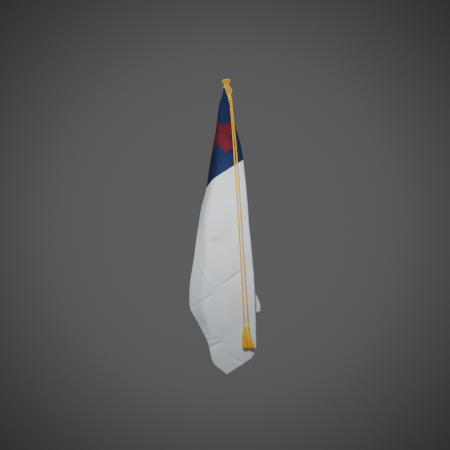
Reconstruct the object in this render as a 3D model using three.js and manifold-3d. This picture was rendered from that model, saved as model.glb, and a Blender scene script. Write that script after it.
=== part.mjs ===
// A white flag with a blue canton and a red Latin cross, hanging by its gathered top-hoist corner
// from a knotted twisted cord, whose two ends hang down the front and carry tassels.
// Millimetres, +Z up, +X to the right seen from the front, +Y towards the back.
// The origin is the top of the knot, where the flag hangs.
import * as THREE from 'three';
import * as BufferGeometryUtils from 'three/addons/utils/BufferGeometryUtils.js';
import Module from 'manifold-3d';

const wasm = await Module();
wasm.setup();

const degrees = THREE.MathUtils.degToRad;

// The cloth as it is cut. A place on it is a, the distance from the corner along the top edge,
// and b, the distance from the corner down the hoist.
const FLY = 1219;
const HOIST = 762;
const CLOTH = 1.0;
const CANTON = { a: 378, b: 400 };
const CROSS = {
  upright: { from: 69, to: 326 },
  crossbar: { from: 122.5, to: 302.5 },
  uprightMiddle: 212.5,
  crossbarMiddle: 160,
  bar: 62,
};

// Touching pieces keep this gap.
const GAP = 0.5;

// How the cloth hangs: the flag's corner, the angle of the hoist edge from straight down, the
// part of the corner that is gathered away inside the knot, and the shift and rise of the neck.
const CORNER = { x: -8.4, z: -14.8 };
const HOIST_ANGLE = degrees(57.35);
const NECK = { start: 25, rise: 8, rises: { from: 25, to: 85 }, shift: 6, shifts: { from: 20, to: 110 } };

// The front panel's left and right outlines, as angles in degrees from straight down,
// at distances from the corner.
const OUTLINE = [
  { distance: 25, left: -10, right: 14 },
  { distance: 75, left: -10, right: 14 },
  { distance: 115, left: -12.3, right: 14 },
  { distance: 160, left: -11, right: 14 },
  { distance: 240, left: -9.9, right: 14.1 },
  { distance: 330, left: -10.05, right: 14.4 },
  { distance: 430, left: -9.9, right: 13 },
  { distance: 545, left: -9.6, right: 11.5 },
  { distance: 630, left: -10.3, right: 10.65 },
  { distance: 720, left: -10.2, right: 9.75 },
  { distance: 800, left: -10.05, right: 9.4 },
  { distance: 860, left: -9.85, right: 9.1 },
  { distance: 940, left: -9.75, right: 8.75 },
  { distance: 1010, left: -9.7, right: 8.4 },
  { distance: 1070, left: -9.3, right: 8.1 },
  { distance: 1120, left: -8.85, right: 7.85 },
  { distance: 1165, left: -7.95, right: 7.6 },
  { distance: 1204, left: -6.9, right: 7.4 },
  { distance: 1245, left: -6.3, right: 7.2 },
  { distance: 1290, left: -5.9, right: 7 },
  { distance: 1322, left: -5.7, right: 6.8 },
  { distance: 1345, left: -5.4, right: 6.4 },
  { distance: 1365, left: -5.3, right: 5.85 },
  { distance: 1440, left: -5.1, right: 4.5 },
];

// The folds open from the neck down to the distance FULL.to. A layer is the step from one pass of
// cloth to the next. The left strip of the front panel turns back by an angle, which eases lower
// down, to TURN.depth.
const FULL = { from: 40, to: 500 };
const LAYER = { neck: 1.9, low: 12.9 };
const TURN = {
  angle: { high: degrees(61), low: degrees(35), from: 600, to: 940 },
  depth: 60,
  edge: { neck: 1.2, low: 8 },
  face: { neck: 2.6, low: 38 },
};

// The hidden passes at the left reach this share of the outline, and the pass that ends in the
// top edge reaches this share of the right outline and then flares out past it.
const HIDDEN_LEFT = 0.9;
const TOP_EDGE = {
  share: 0.82,
  flare: degrees(3),
  flares: { from: 1020, to: 1195 },
  lift: 0.059,
  lifts: { from: 300, to: 900, past: degrees(8) },
};

// The bundle bows forward between its sides by a share of its half width, which eases from high
// to low, and the whole of it sits back by a share of that bow.
const BOW = { high: 0.25, low: 0.06, from: 300, to: 1150, back: 0.6, starts: { from: 50, to: 300 } };

// A soft ridge runs down the front panel, and the cloth swells between the lines that it was
// folded along in its packet. The low tip sags out past the straight bottom edge.
const RIDGE = { top: { x: 10, z: -760 }, end: { x: 14, z: -1290 }, height: 7, width: 45 };
const PACKET = { line: 631, step: 215, swell: 5, from: 420, to: 550 };
const TIP = { bulge: 28, middle: 83, width: 64, reach: 210 };

// The grid of the sheet: rows are distances from the corner, and columns follow the folds.
const ROWS = { growth: 1.28, step: 36, last: 1438 };
const PARTS_OF_RUN = {
  hoistPass: 2,
  secondPass: 2,
  firstPass: 1,
  strip: 1,
  front: 8,
  backPass: 1,
  topPass: 2,
};
const SMALLEST_MOVE = 0.25;

// The twisted cord, and the routes that it takes round the neck and down the front.
const CORD = { radius: 3.25, sides: 8, step: 19.5 };
const WRAP = { turns: 2.2, from: -33, to: -46, clear: 0.7 };
const KNOT_ROUTES = {
  bight: [
    { x: 21.9, y: -12.8, z: -126.6 },
    { x: 17, y: -14, z: -112 },
    { x: 14.3, y: -15, z: -100 },
    { x: 12, y: -15.8, z: -90 },
    { x: 8, y: -16.5, z: -80 },
    { x: 3.8, y: -16.5, z: -69 },
    { x: 0.5, y: -16, z: -57 },
    { x: -2.7, y: -15.2, z: -44 },
    { x: -5.5, y: -14, z: -34 },
    { x: -7, y: -12.5, z: -26 },
    { x: -12, y: -10, z: -19 },
    { x: -17.6, y: -7.5, z: -13 },
    { x: -12.5, y: -5, z: -7.5 },
    { x: 1, y: -4, z: -4.4 },
    { x: 13.5, y: -4.5, z: -3.7 },
    { x: 19.6, y: -7, z: -8.5 },
    { x: 16.5, y: -10.5, z: -17 },
    { x: 12, y: -12.5, z: -26 },
    { x: 12.8, y: -13.5, z: -37 },
    { x: 19, y: -14.2, z: -45 },
    { x: 26.2, y: -15, z: -53 },
    { x: 26.6, y: -16, z: -66 },
    { x: 20.8, y: -17, z: -82 },
    { x: 25, y: -15.5, z: -96 },
    { x: 27.6, y: -14, z: -110 },
    { x: 28.9, y: -12.8, z: -126.6 },
  ],
  secondLoop: [
    { x: 3, y: -15.5, z: -46 },
    { x: 4, y: -13.5, z: -33 },
    { x: 7.5, y: -8, z: -22 },
    { x: 11, y: -1.5, z: -14 },
    { x: 6, y: 1.5, z: -9.5 },
    { x: -3.5, y: 1.5, z: -9.5 },
    { x: -9.5, y: -2, z: -13.5 },
    { x: -5, y: -8.5, z: -21 },
    { x: -0.5, y: -13, z: -32 },
    { x: 1.5, y: -15.5, z: -46 },
  ],
  hookTurn: [
    { x: -11, y: 2, z: -20 },
    { x: -4, y: 4, z: -15.5 },
    { x: 4, y: 4, z: -15 },
    { x: 13, y: 2, z: -19.5 },
  ],
  core: [
    { x: 1.5, y: -12.5, z: -34 },
    { x: -1, y: -8.5, z: -24 },
    { x: -3, y: -4.5, z: -15 },
    { x: -2, y: -3, z: -10 },
  ],
  secondCore: [
    { x: 6, y: -13, z: -33 },
    { x: 5.5, y: -8.5, z: -23 },
    { x: 7, y: -4.5, z: -14 },
    { x: 8, y: -3, z: -10 },
  ],
  upperStrand: [
    { x: 2, y: -16.5, z: -38 },
    { x: 6.5, y: -19, z: -52 },
    { x: 11.5, y: -20, z: -66 },
    { x: 15.4, y: -19, z: -80 },
    { x: 19.4, y: -17, z: -94 },
    { x: 22, y: -13.5, z: -106 },
  ],
  lowerStrand: [
    { x: 8, y: -15.5, z: -34 },
    { x: 12.5, y: -18, z: -48 },
    { x: 18.8, y: -19.2, z: -62 },
    { x: 18.6, y: -19, z: -76 },
    { x: 15.5, y: -16.5, z: -88 },
    { x: 20.4, y: -13, z: -104 },
  ],
};
const STRAND_ROUTES = {
  cord_left: [
    { x: 21.9, y: -12.8, z: -128.1 },
    { x: 24.1, y: -15, z: -158 },
    { x: 26.9, y: -18, z: -187 },
    { x: 29.4, y: -22, z: -217 },
    { x: 31.5, y: -26.2, z: -246 },
    { x: 33.4, y: -31, z: -276 },
    { x: 35.7, y: -35.6, z: -305 },
    { x: 37.7, y: -40, z: -335 },
    { x: 39.6, y: -43.8, z: -365 },
    { x: 41.3, y: -47, z: -394 },
    { x: 44.6, y: -51.6, z: -453 },
    { x: 49.2, y: -54.4, z: -522 },
    { x: 53.5, y: -56.4, z: -591 },
    { x: 57.6, y: -56.9, z: -660 },
    { x: 61.6, y: -57.1, z: -729 },
    { x: 65.6, y: -57.2, z: -798 },
    { x: 69.7, y: -57, z: -867 },
    { x: 73.6, y: -56.5, z: -936 },
    { x: 77.3, y: -56.2, z: -1005 },
    { x: 80.8, y: -56.2, z: -1074 },
    { x: 84.3, y: -56.7, z: -1143 },
    { x: 87.7, y: -58, z: -1211 },
  ],
  cord_right: [
    { x: 28.9, y: -12.8, z: -127.5 },
    { x: 31.1, y: -14.1, z: -158 },
    { x: 34, y: -16.9, z: -187 },
    { x: 37.2, y: -20.5, z: -217 },
    { x: 40.2, y: -24.3, z: -246 },
    { x: 43.2, y: -28.7, z: -276 },
    { x: 46.2, y: -33.1, z: -305 },
    { x: 48.8, y: -37.4, z: -335 },
    { x: 51, y: -41, z: -365 },
    { x: 53, y: -44.4, z: -394 },
    { x: 56.6, y: -48.9, z: -453 },
    { x: 61.8, y: -51.8, z: -522 },
    { x: 66.2, y: -53.9, z: -591 },
    { x: 70.6, y: -54.3, z: -660 },
    { x: 75, y: -54.5, z: -729 },
    { x: 79.8, y: -54.6, z: -798 },
    { x: 84.8, y: -54.5, z: -867 },
    { x: 89.5, y: -54.2, z: -936 },
    { x: 94, y: -54.1, z: -1005 },
    { x: 98.5, y: -54.6, z: -1074 },
    { x: 103, y: -55.6, z: -1143 },
    { x: 106.9, y: -57.5, z: -1211 },
  ],
};

// The tassels: a bound head under each strand, and a skirt of strands that spreads below it.
const HEAD = {
  gap: 0.4,
  sides: 16,
  profile: [
    { radius: 3.4, drop: 0 },
    { radius: 6.4, drop: 3 },
    { radius: 7.4, drop: 7 },
    { radius: 6.6, drop: 11.5 },
    { radius: 5.4, drop: 14.5 },
    { radius: 6.8, drop: 18 },
    { radius: 7.6, drop: 24 },
  ],
};
const SKIRT = {
  length: 94,
  rings: [
    { count: 1, root: 0, spread: 0, yarn: 0.9 },
    { count: 7, root: 0.42, spread: 0.46, yarn: 0.85 },
    { count: 14, root: 0.8, spread: 0.93, yarn: 0.8 },
  ],
  yarnEnd: 1.75,
  steps: 4,
};
const TASSELS = {
  tassel_left: { strand: 'cord_left', half: 12.8, deep: 9.5, lean: 5.5, drift: -1 },
  tassel_right: { strand: 'cord_right', half: 13.2, deep: 9.5, lean: 21, drift: -1 },
};

const COLOURS = { white: 0xcbcfd3, blue: 0x1f3a64, red: 0x7a222c, gold: 0xc8a032, tassel: 0xbe7d19 };

const cloth = (color) => new THREE.MeshStandardMaterial({ color, roughness: 0.8, metalness: 0 });
const cordYarn = (color) => new THREE.MeshStandardMaterial({ color, roughness: 0.55, metalness: 0 });

// A smooth step from 0 at from to 1 at to.
function ease(value, from, to) {
  const t = THREE.MathUtils.clamp((value - from) / (to - from), 0, 1);
  return t * t * (3 - 2 * t);
}

// A column of the outline table at a distance from the corner, by cubic interpolation.
function outlineAt(side, distance) {
  const last = OUTLINE.length - 1;
  let i = 0;
  while (i < last - 1 && OUTLINE[i + 1].distance < distance) i += 1;
  const slope = (k) => {
    const before = OUTLINE[Math.max(k - 1, 0)];
    const after = OUTLINE[Math.min(k + 1, last)];
    return (after[side] - before[side]) / (after.distance - before.distance);
  };
  const [p, q] = [OUTLINE[i], OUTLINE[i + 1]];
  const span = q.distance - p.distance;
  const t = THREE.MathUtils.clamp((distance - p.distance) / span, 0, 1);
  const rise = t * t * (3 - 2 * t);
  const hermite = slope(i) * t * (1 - t) * (1 - t) - slope(i + 1) * t * t * (1 - t);
  return degrees(p[side] + (q[side] - p[side]) * rise + hermite * span);
}

// The runs and rounded corners of a path through points { x, y, radius, run }.
function roundedPath(points) {
  const pieces = [];
  let { x, y } = points[0];
  let heading = Math.atan2(points[1].y - y, points[1].x - x);
  for (let i = 1; i < points.length; i += 1) {
    const corner = points[i];
    const next = points[i + 1] ?? corner;
    const nextHeading = next === corner ? heading : Math.atan2(next.y - corner.y, next.x - corner.x);
    const turn = Math.atan2(Math.sin(nextHeading - heading), Math.cos(nextHeading - heading));
    const radius = next === corner ? 0 : corner.radius;
    const setback = radius * Math.tan(Math.abs(turn) / 2);
    const along = (corner.x - x) * Math.cos(heading) + (corner.y - y) * Math.sin(heading);
    pieces.push({ x, y, heading, curl: 0, length: along - setback, run: corner.run });
    x += (along - setback) * Math.cos(heading);
    y += (along - setback) * Math.sin(heading);
    if (radius > 0 && Math.abs(turn) > 1e-6) {
      const curl = Math.sign(turn) / radius;
      pieces.push({ x, y, heading, curl, length: radius * Math.abs(turn), turn: Math.abs(turn) });
      x = corner.x + setback * Math.cos(nextHeading);
      y = corner.y + setback * Math.sin(nextHeading);
    }
    heading = nextHeading;
  }
  return pieces;
}

const lengthOf = (pieces) => pieces.reduce((sum, piece) => sum + piece.length, 0);

// The point of a path at a distance along it.
function pointAlong(pieces, distance) {
  let left = Math.max(distance, 0);
  let piece = pieces[0];
  for (const candidate of pieces) {
    piece = candidate;
    if (left <= candidate.length || candidate === pieces.at(-1)) break;
    left -= candidate.length;
  }
  const { x, y, heading, curl } = piece;
  if (curl === 0) return { x: x + left * Math.cos(heading), y: y + left * Math.sin(heading) };
  return {
    x: x + (Math.sin(heading + curl * left) - Math.sin(heading)) / curl,
    y: y - (Math.cos(heading + curl * left) - Math.cos(heading)) / curl,
  };
}

// The section through all six passes of cloth at a distance from the corner, from the hoist edge
// at the back to the top edge. x is across and y is the depth behind the front panel. The free
// ends of the passes take up what the section's length needs.
const sections = new Map();
function sectionAt(distance) {
  const key = distance.toFixed(3);
  if (sections.has(key)) return sections.get(key);
  const open = ease(distance, FULL.from, FULL.to);
  const layer = THREE.MathUtils.lerp(LAYER.neck, LAYER.low, open);
  const deep = THREE.MathUtils.lerp(3 * LAYER.neck, TURN.depth, open);
  const edge = THREE.MathUtils.lerp(TURN.edge.neck, TURN.edge.low, open);
  const face = THREE.MathUtils.lerp(TURN.face.neck, TURN.face.low, open);
  const { high, low, from, to } = TURN.angle;
  const angle = THREE.MathUtils.lerp(high, low, ease(distance, from, to));
  const bend = layer / 2;
  const edgeReach = edge / Math.tan(angle / 2) - edge;
  const left = distance * outlineAt('left', distance) - edgeReach;
  const right = distance * outlineAt('right', distance);
  const turned = left + deep / Math.tan(angle);
  const hidden = left * HIDDEN_LEFT;
  const middle = { x: 0, y: 0, radius: 0, run: 'front' };
  const leftPoints = (inner) => [
    { x: inner, y: deep + 2 * layer },
    { x: hidden, y: deep + 2 * layer, radius: bend, run: 'hoistPass' },
    { x: hidden, y: deep + layer, radius: bend },
    { x: inner, y: deep + layer, radius: bend, run: 'secondPass' },
    { x: inner, y: deep, radius: bend },
    { x: left, y: deep, radius: edge, run: 'firstPass' },
    { x: turned, y: 0, radius: face, run: 'strip' },
    middle,
  ];
  const topEdge = distance * (outlineAt('right', distance) * TOP_EDGE.share
    + TOP_EDGE.flare * ease(distance, TOP_EDGE.flares.from, TOP_EDGE.flares.to));
  const rightPoints = (inner) => [
    middle,
    { x: right, y: 0, radius: bend, run: 'front' },
    { x: right, y: layer, radius: bend },
    { x: inner, y: layer, radius: bend, run: 'backPass' },
    { x: inner, y: 2 * layer, radius: bend },
    { x: topEdge, y: 2 * layer, radius: 0, run: 'topPass' },
  ];
  const leftLength = HOIST_ANGLE * distance;
  const rightLength = (Math.PI / 2 - HOIST_ANGLE) * distance;
  const leftInner = (leftLength - lengthOf(roundedPath(leftPoints(0)))) / 3;
  const rightInner = (lengthOf(roundedPath(rightPoints(0))) - rightLength) / 2;
  const pieces = [
    ...roundedPath(leftPoints(leftInner)),
    ...roundedPath(rightPoints(rightInner)),
  ];
  const section = { pieces, depth: deep + 2 * layer, left, right };
  sections.set(key, section);
  return section;
}

// How far forward the bundle bows at a place across a section.
function bowAt(x, distance, { left, right }) {
  const half = (right - left) / 2;
  const off = (x - (left + right) / 2) / half;
  const share = THREE.MathUtils.lerp(BOW.high, BOW.low, ease(distance, BOW.from, BOW.to));
  const bow = half * share * ease(distance, BOW.starts.from, BOW.starts.to);
  return bow * (1 - off * off) - BOW.back * bow;
}

// How far forward the soft ridge stands at a place of the front.
function ridgeAt(x, z) {
  const { top, end, height, width } = RIDGE;
  const t = THREE.MathUtils.clamp((z - top.z) / (end.z - top.z), -0.15, 1.1);
  const off = (x - THREE.MathUtils.lerp(top.x, end.x, t)) / width;
  return height * Math.exp(-off * off) * ease(t, -0.15, 0.3) * (1 - ease(t, 0.75, 1.1));
}

// How far forward the cloth swells between the lines of its packet.
function swellAt(a) {
  const steps = (a - PACKET.line) / PACKET.step;
  const part = steps - Math.floor(steps);
  return PACKET.swell * 4 * part * (1 - part) * ease(a, PACKET.from, PACKET.to);
}

// Where a place of the cut cloth hangs.
function hangAt(a, b) {
  const distance = Math.hypot(a, b);
  const turn = Math.atan2(a, b);
  const section = sectionAt(distance);
  const at = pointAlong(section.pieces, distance * turn);
  const { past, from, to } = TOP_EDGE.lifts;
  const towardsEdge = (turn - HOIST_ANGLE - past) / (Math.PI / 2 - HOIST_ANGLE - past);
  const back = THREE.MathUtils.clamp(towardsEdge, 0, 1) ** 2 * ease(distance, from, to);
  const reach = distance * (1 - TOP_EDGE.lift * back);
  const angle = at.x / distance;
  const fromTip = (FLY - a - TIP.middle) / TIP.width;
  const sag = TIP.bulge * Math.exp(-fromTip * fromTip) * (1 - ease(HOIST - b, 0, TIP.reach));
  const x = CORNER.x + reach * Math.sin(angle) - sag * Math.sin(HOIST_ANGLE)
    + NECK.shift * (1 - ease(distance, NECK.shifts.from, NECK.shifts.to));
  const z = CORNER.z - reach * Math.cos(angle) - sag * Math.cos(HOIST_ANGLE)
    + NECK.rise * (1 - ease(distance, NECK.rises.from, NECK.rises.to));
  const forward = bowAt(at.x, distance, section) + ridgeAt(x, z) + swellAt(a);
  return new THREE.Vector3(x, at.y - section.depth / 2 - forward, z);
}

// The direction across the cloth at a place, from its neighbours on both sides.
function acrossAt(a, b) {
  const h = 0.05;
  const alongA = hangAt(a + h, b).sub(hangAt(Math.max(a - h, 0), b));
  const alongB = hangAt(a, b + h).sub(hangAt(a, Math.max(b - h, 0)));
  return alongA.cross(alongB).normalize();
}

// The flat cloth as a grid of triangles, before it is cut. Columns follow the folds.
function flatGrid() {
  const rows = [NECK.start];
  while (rows.at(-1) < ROWS.last) {
    const reach = rows.at(-1);
    rows.push(Math.min(reach + Math.min(reach * (ROWS.growth - 1), ROWS.step), ROWS.last));
  }
  const points = [];
  const triangles = [];
  let width = 0;
  rows.forEach((distance, row) => {
    const { pieces } = sectionAt(distance);
    const marks = [0];
    let start = 0;
    for (const piece of pieces) {
      let parts = piece.run ? PARTS_OF_RUN[piece.run] : 0;
      if (piece.run === 'front') parts = Math.ceil(parts / 2);
      if (piece.curl !== 0) parts = Math.ceil(piece.turn / degrees(45));
      for (let k = 1; k <= parts; k += 1) marks.push(start + (piece.length * k) / parts);
      start += piece.length;
    }
    width = marks.length;
    for (const mark of marks) {
      const turn = Math.min(mark / distance, Math.PI / 2);
      points.push({ a: distance * Math.sin(turn), b: Math.max(distance * Math.cos(turn), 0) });
    }
    if (row === 0) return;
    for (let k = 1; k < width; k += 1) {
      const low = row * width + k;
      const high = low - width;
      triangles.push([high - 1, low - 1, low], [high - 1, low, high]);
    }
  });
  return { points, triangles };
}

// Cuts a flat mesh along a line of constant a or b. Points near the line are moved onto it first.
function cutAlong({ points, triangles }, side, value) {
  const shortest = points.map(() => Infinity);
  for (const triangle of triangles) {
    triangle.forEach((p, k) => {
      const q = triangle[(k + 1) % 3];
      const edge = Math.hypot(points[p].a - points[q].a, points[p].b - points[q].b);
      shortest[p] = Math.min(shortest[p], edge);
      shortest[q] = Math.min(shortest[q], edge);
    });
  }
  const moved = points.map((point, i) => {
    const near = Math.abs(point[side] - value) < SMALLEST_MOVE * shortest[i];
    return near ? { ...point, [side]: value } : point;
  });
  const middles = new Map();
  const middle = (p, q) => {
    const [low, high] = p < q ? [p, q] : [q, p];
    const key = `${low} ${high}`;
    if (!middles.has(key)) {
      const t = (value - moved[low][side]) / (moved[high][side] - moved[low][side]);
      const a = THREE.MathUtils.lerp(moved[low].a, moved[high].a, t);
      const b = THREE.MathUtils.lerp(moved[low].b, moved[high].b, t);
      moved.push({ a, b, [side]: value });
      middles.set(key, moved.length - 1);
    }
    return middles.get(key);
  };
  const cut = [];
  for (const triangle of triangles) {
    const sides = triangle.map((p) => Math.sign(moved[p][side] - value));
    if (!(sides.includes(1) && sides.includes(-1))) {
      cut.push(triangle);
      continue;
    }
    const on = sides.indexOf(0);
    const alone = on >= 0 ? on : sides.findIndex((s) => sides.filter((other) => other === s).length === 1);
    const [p, q, r] = [0, 1, 2].map((k) => triangle[(alone + k) % 3]);
    if (on >= 0) {
      const m = middle(q, r);
      cut.push([p, q, m], [p, m, r]);
    } else {
      const m = middle(p, q);
      const n = middle(p, r);
      cut.push([p, m, n], [m, q, r], [m, r, n]);
    }
  }
  return { points: moved, triangles: cut };
}

// The part of a flat mesh whose triangles' middles pass the test.
function keepWhere({ points, triangles }, test) {
  const kept = triangles.filter((triangle) => {
    const [p, q, r] = triangle.map((i) => points[i]);
    return test((p.a + q.a + r.a) / 3, (p.b + q.b + r.b) / 3);
  });
  return { points, triangles: kept };
}

// A hanging sheet of the cloth's thickness from a flat mesh, drawn in by half a gap at its edges.
function sheet({ points, triangles }) {
  const used = [...new Set(triangles.flat())];
  const index = new Map(used.map((p, i) => [p, i]));
  const open = new Map();
  for (const triangle of triangles) {
    triangle.forEach((p, k) => {
      const q = triangle[(k + 1) % 3];
      if (!open.delete(`${q} ${p}`)) open.set(`${p} ${q}`, [p, q]);
    });
  }
  const inward = new Map();
  for (const [p, q] of open.values()) {
    const run = new THREE.Vector2(points[q].a - points[p].a, points[q].b - points[p].b).normalize();
    const normal = new THREE.Vector2(run.y, -run.x);
    for (const end of [p, q]) {
      const known = inward.get(end) ?? [];
      if (!known.some((other) => other.dot(normal) > 0.7)) known.push(normal);
      inward.set(end, known);
    }
  }
  const front = [];
  const rear = [];
  for (const p of used) {
    const shift = new THREE.Vector2();
    for (const normal of inward.get(p) ?? []) shift.addScaledVector(normal, GAP / 2);
    const a = Math.max(points[p].a + shift.x, 0);
    const b = Math.max(points[p].b + shift.y, 0);
    const at = hangAt(a, b);
    const across = acrossAt(a, b).multiplyScalar(CLOTH / 2);
    front.push(...at.clone().add(across).toArray());
    rear.push(...at.clone().sub(across).toArray());
  }
  const count = used.length;
  const faces = [];
  for (const triangle of triangles) {
    const [p, q, r] = triangle.map((i) => index.get(i));
    faces.push(p, q, r, p + count, r + count, q + count);
  }
  for (const [p, q] of open.values()) {
    const [i, j] = [index.get(p), index.get(q)];
    faces.push(i, i + count, j, j, i + count, j + count);
  }
  const geometry = new THREE.BufferGeometry();
  geometry.setAttribute('position', new THREE.Float32BufferAttribute([...front, ...rear], 3));
  geometry.setIndex(faces);
  const body = toSolid(geometry);
  return body.volume() < 0 ? fromSolid(toSolid(flipped(geometry))) : fromSolid(body);
}

function flipped(geometry) {
  const index = geometry.getIndex().array;
  for (let i = 0; i < index.length; i += 3) [index[i], index[i + 1]] = [index[i + 1], index[i]];
  return geometry;
}

// A closed geometry as a solid for joins and cuts, and back.
function toSolid(geometry) {
  const bare = geometry.clone();
  bare.deleteAttribute('normal');
  bare.deleteAttribute('uv');
  const merged = BufferGeometryUtils.mergeVertices(bare, 1e-4);
  const triVerts = new Uint32Array(merged.getIndex().array);
  const vertProperties = new Float32Array(merged.getAttribute('position').array);
  return new wasm.Manifold(new wasm.Mesh({ numProp: 3, vertProperties, triVerts }));
}

function fromSolid(solid) {
  const mesh = solid.getMesh();
  const geometry = new THREE.BufferGeometry();
  geometry.setAttribute('position', new THREE.Float32BufferAttribute(mesh.vertProperties, 3));
  geometry.setIndex(new THREE.BufferAttribute(mesh.triVerts, 1));
  geometry.computeVertexNormals();
  return geometry;
}

const curveOf = (route) => new THREE.CatmullRomCurve3(
  route.map(({ x, y, z }) => new THREE.Vector3(x, y, z)),
  false,
  'centripetal',
);

// A tube of the cord along a route.
function tube(route, step = CORD.step) {
  const curve = curveOf(route);
  const round = new THREE.Shape();
  for (let k = 0; k < CORD.sides; k += 1) {
    const angle = (2 * Math.PI * k) / CORD.sides;
    const [x, y] = [CORD.radius * Math.cos(angle), CORD.radius * Math.sin(angle)];
    if (k === 0) round.moveTo(x, y);
    else round.lineTo(x, y);
  }
  round.closePath();
  const steps = Math.ceil(curve.getLength() / step);
  return new THREE.ExtrudeGeometry(round, { steps, extrudePath: curve, bevelEnabled: false });
}

// The turns of cord round the gathered neck: a rectangle with round corners that clears the cloth.
function wrapRoute() {
  const places = 8;
  const total = Math.round(WRAP.turns * places);
  const route = [];
  for (let k = 0; k <= total; k += 1) {
    const z = THREE.MathUtils.lerp(WRAP.from, WRAP.to, k / total);
    const distance = CORNER.z - z + NECK.rise;
    const { depth } = sectionAt(distance);
    const left = CORNER.x + NECK.shift + distance * outlineAt('left', distance);
    const right = CORNER.x + NECK.shift + distance * outlineAt('right', distance);
    const clear = CLOTH / 2 + WRAP.clear + CORD.radius;
    const angle = (2 * Math.PI * (k + 0.5)) / places - Math.PI / 2;
    const [c, s] = [Math.cos(angle), Math.sin(angle)];
    const x = (left + right) / 2 + Math.sign(c) * (right - left) / 2 + clear * c;
    const y = Math.sign(s) * depth / 2 + clear * s;
    route.push({ x, y, z });
  }
  return route;
}

// The knot: the bight of cord over the top, its loops, the turns round the neck and the tuck.
function knot() {
  const tubes = Object.values(KNOT_ROUTES).map((route) => toSolid(tube(route, 9)));
  const turns = toSolid(tube(wrapRoute(), 7));
  return fromSolid(tubes.reduce((whole, part) => whole.add(part), turns));
}

// One yarn of a skirt: a four-sided strand from its root in the head to its end. It spreads early
// and leans late.
function yarn(root, end, thick, lean) {
  const { steps } = SKIRT;
  const bulge = new THREE.Vector3(
    (root.x + (end.x - lean) * 3) / 4,
    (root.y + end.y * 3) / 4,
    (root.z + end.z) / 2,
  );
  const curve = new THREE.QuadraticBezierCurve3(root, bulge, end);
  const around = 4;
  const positions = [];
  for (let i = 0; i <= steps; i += 1) {
    const centre = curve.getPoint(i / steps);
    const radius = thick * THREE.MathUtils.lerp(1, SKIRT.yarnEnd, ease(i / steps, 0, 0.7));
    for (let k = 0; k < around; k += 1) {
      const angle = (2 * Math.PI * (k + 0.5)) / around;
      positions.push(centre.x + radius * Math.cos(angle), centre.y + radius * Math.sin(angle), centre.z);
    }
  }
  const faces = [];
  for (let i = 0; i < steps; i += 1) {
    for (let k = 0; k < around; k += 1) {
      const next = (k + 1) % around;
      const [p, q] = [i * around + k, i * around + next];
      faces.push(p, p + around, q, q, p + around, q + around);
    }
  }
  const last = steps * around;
  faces.push(0, 1, 2, 0, 2, 3, last, last + 2, last + 1, last, last + 3, last + 2);
  const geometry = new THREE.BufferGeometry();
  geometry.setAttribute('position', new THREE.Float32BufferAttribute(positions, 3));
  geometry.setIndex(faces);
  return toSolid(geometry);
}

// A tassel under the end of a strand: a turned head, and yarns that are fused into its foot.
function tassel({ strand, half, deep, lean, drift }) {
  const end = STRAND_ROUTES[strand].at(-1);
  const top = new THREE.Vector3(end.x, end.y, end.z - HEAD.gap);
  const foot = HEAD.profile.at(-1);
  const outline = [new THREE.Vector2(0, 0)];
  for (const { radius, drop } of HEAD.profile) outline.push(new THREE.Vector2(radius, -drop));
  outline.push(new THREE.Vector2(0, -foot.drop));
  outline.reverse();
  const head = new THREE.LatheGeometry(outline, HEAD.sides);
  head.rotateX(Math.PI / 2);
  head.translate(top.x, top.y, top.z);
  let whole = toSolid(head);
  const rootZ = top.z - foot.drop + 1.5;
  const endZ = rootZ - 1.5 - SKIRT.length;
  SKIRT.rings.forEach(({ count, root, spread, yarn: thick }, ring) => {
    for (let k = 0; k < count; k += 1) {
      const angle = (2 * Math.PI * (k + 0.5 * ring)) / count;
      const [c, s] = [Math.cos(angle), Math.sin(angle)];
      const uneven = 3 * Math.sin(5 * k + 2 * ring);
      const start = new THREE.Vector3(
        top.x + foot.radius * root * c,
        top.y + foot.radius * root * s,
        rootZ,
      );
      const finish = new THREE.Vector3(
        top.x + lean + half * spread * c,
        top.y + drift + deep * spread * s,
        endZ + uneven,
      );
      whole = whole.add(yarn(start, finish, thick, lean));
    }
  });
  return fromSolid(whole);
}

const flag = new THREE.Group();

function add(name, geometry, material) {
  const mesh = new THREE.Mesh(geometry, material);
  mesh.name = name;
  flag.add(mesh);
}

const half = CROSS.bar / 2;
const upright = { low: CROSS.uprightMiddle - half, high: CROSS.uprightMiddle + half };
const crossbar = { low: CROSS.crossbarMiddle - half, high: CROSS.crossbarMiddle + half };
const inUpright = (a, b) => a > upright.low && a < upright.high
  && b > CROSS.upright.from && b < CROSS.upright.to;
const inCrossbar = (a, b) => b > crossbar.low && b < crossbar.high
  && a > CROSS.crossbar.from && a < CROSS.crossbar.to;
const inCross = (a, b) => inUpright(a, b) || inCrossbar(a, b);
const inCanton = (a, b) => a < CANTON.a && b < CANTON.b;

let whole = flatGrid();
whole = cutAlong(whole, 'a', FLY);
whole = cutAlong(whole, 'b', HOIST);
whole = keepWhere(whole, (a, b) => a < FLY && b < HOIST);
whole = cutAlong(whole, 'a', CANTON.a);
whole = cutAlong(whole, 'b', CANTON.b);
const fieldCloth = keepWhere(whole, (a, b) => !inCanton(a, b));
let cantonCloth = keepWhere(whole, inCanton);
for (const value of [upright.low, upright.high, CROSS.crossbar.from, CROSS.crossbar.to]) {
  cantonCloth = cutAlong(cantonCloth, 'a', value);
}
for (const value of [crossbar.low, crossbar.high, CROSS.upright.from, CROSS.upright.to]) {
  cantonCloth = cutAlong(cantonCloth, 'b', value);
}
const crossCloth = keepWhere(cantonCloth, inCross);
const blueCloth = keepWhere(cantonCloth, (a, b) => !inCross(a, b));

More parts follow.
